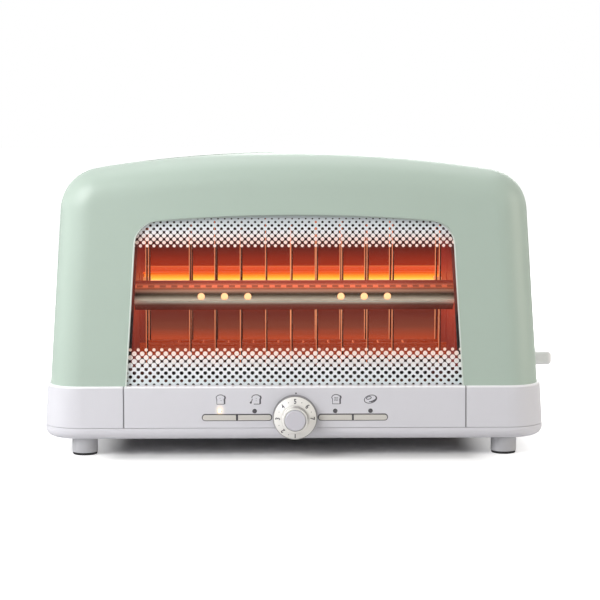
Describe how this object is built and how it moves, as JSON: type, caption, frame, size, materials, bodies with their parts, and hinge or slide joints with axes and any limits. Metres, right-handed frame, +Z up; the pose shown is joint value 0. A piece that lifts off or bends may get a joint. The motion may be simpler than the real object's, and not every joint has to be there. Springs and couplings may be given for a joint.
{
  "type": "toaster",
  "caption": "Pop-up toaster for slices side by side, with an arched shell, a glass front that shows the heater, a browning dial, mode buttons, a side lever and a crumb tray.",
  "frame": {"origin": "bottom centre of the box round the whole toaster, feet on z = 0", "axes": "+X to the lever's side, the long way; front, with window and dial, towards -Y; +Z up"},
  "size_m": [0.4052, 0.2008, 0.233],
  "materials": {
    "green_paint": "satin",
    "lilac_plastic": "fine satin",
    "window_glass": "clear",
    "dark_steel": "matt",
    "galvanised_sheet": "bright",
    "brushed_housing": "brushed",
    "quartz": "clear",
    "glowing_coil": "glowing",
    "ceramic_white": "matt",
    "guard_wire": "bright",
    "cream_plastic": "pearl",
    "button_plastic": "pearl",
    "grey_plastic": "satin",
    "cancel_plastic": "satin",
    "foot_plastic": "satin",
    "pad_rubber": "matt",
    "board_green": "solder mask",
    "black_plastic": "matt",
    "lens_clear": "clear",
    "plain_steel": "plain",
    "screw_steel": "zinc"
  },
  "bodies": {
    "case": {"outer_shell": "green_paint", "glass_window": "window_glass", "glass_retainer": "dark_steel", "slot_liner": "galvanised_sheet", "cavity_roof": "galvanised_sheet", "end_plate_left": "galvanised_sheet", "end_plate_right": "galvanised_sheet", "rear_wall": "galvanised_sheet", "chassis_floor": "galvanised_sheet", "front_heater_housing": "brushed_housing", "rear_heater_housing": "brushed_housing", "front_heater_tube": "quartz", "rear_heater_tube": "quartz", "front_filament": "glowing_coil", "rear_filament": "glowing_coil", "tube_holders": "ceramic_white", "front_wire_guard": "guard_wire", "rear_wire_guard": "guard_wire", "base_surround": "lilac_plastic", "base_front_panel": "lilac_plastic", "base_pan": "lilac_plastic", "feet": "foot_plastic", "foot_pads": "pad_rubber", "control_board": "board_green", "mode_switches": "black_plastic", "cancel_switch": "black_plastic", "dial_encoder": "black_plastic", "led_lenses": "lens_clear", "latch_magnet": "black_plastic", "guide_rod": "plain_steel", "carriage_bracket": "plain_steel", "return_spring": "plain_steel", "lever_guide": "black_plastic", "tray_runners": "galvanised_sheet", "power_board": "board_green", "power_parts": "black_plastic", "cord_gland": "black_plastic", "base_screws": "screw_steel", "board_screws": "screw_steel", "chassis_screws": "screw_steel"},
    "carriage": {"bread_rack": "guard_wire", "carriage_slider": "black_plastic", "latch_armature": "plain_steel", "lever_arm": "plain_steel", "lever_knob": "grey_plastic"},
    "dial": {"control_dial": "cream_plastic"},
    "cancel": {"cancel_button": "cancel_plastic"},
    "mode_1": {"mode_button_1": "button_plastic"},
    "mode_2": {"mode_button_2": "button_plastic"},
    "mode_3": {"mode_button_3": "button_plastic"},
    "mode_4": {"mode_button_4": "button_plastic"},
    "tray": {"crumb_tray": "plain_steel"}
  },
  "joints": [
    {"name": "carriage_lift", "type": "slide", "parent": "case", "child": "carriage", "axis": [0, 0, 1], "range_m": [0, 0.055]},
    {"name": "dial_turn", "type": "hinge", "parent": "case", "child": "dial", "pos_m": [-0.00743, -0.08435, 0.0303], "axis": [0, -1, 0], "range_deg": [-90, 180]},
    {"name": "cancel_press", "type": "slide", "parent": "case", "child": "cancel", "axis": [0, 1, 0], "range_m": [0, 0.0015], "stiffness_N_per_m": 900, "springref_m": -0.001},
    {"name": "mode_1_press", "type": "slide", "parent": "case", "child": "mode_1", "axis": [0, 1, 0], "range_m": [0, 0.0012], "stiffness_N_per_m": 900, "springref_m": -0.001},
    {"name": "mode_2_press", "type": "slide", "parent": "case", "child": "mode_2", "axis": [0, 1, 0], "range_m": [0, 0.0012], "stiffness_N_per_m": 900, "springref_m": -0.001},
    {"name": "mode_3_press", "type": "slide", "parent": "case", "child": "mode_3", "axis": [0, 1, 0], "range_m": [0, 0.0012], "stiffness_N_per_m": 900, "springref_m": -0.001},
    {"name": "mode_4_press", "type": "slide", "parent": "case", "child": "mode_4", "axis": [0, 1, 0], "range_m": [0, 0.0012], "stiffness_N_per_m": 900, "springref_m": -0.001},
    {"name": "tray_pull", "type": "slide", "parent": "case", "child": "tray", "axis": [0, 1, 0], "range_m": [0, 0.13]}
  ]
}
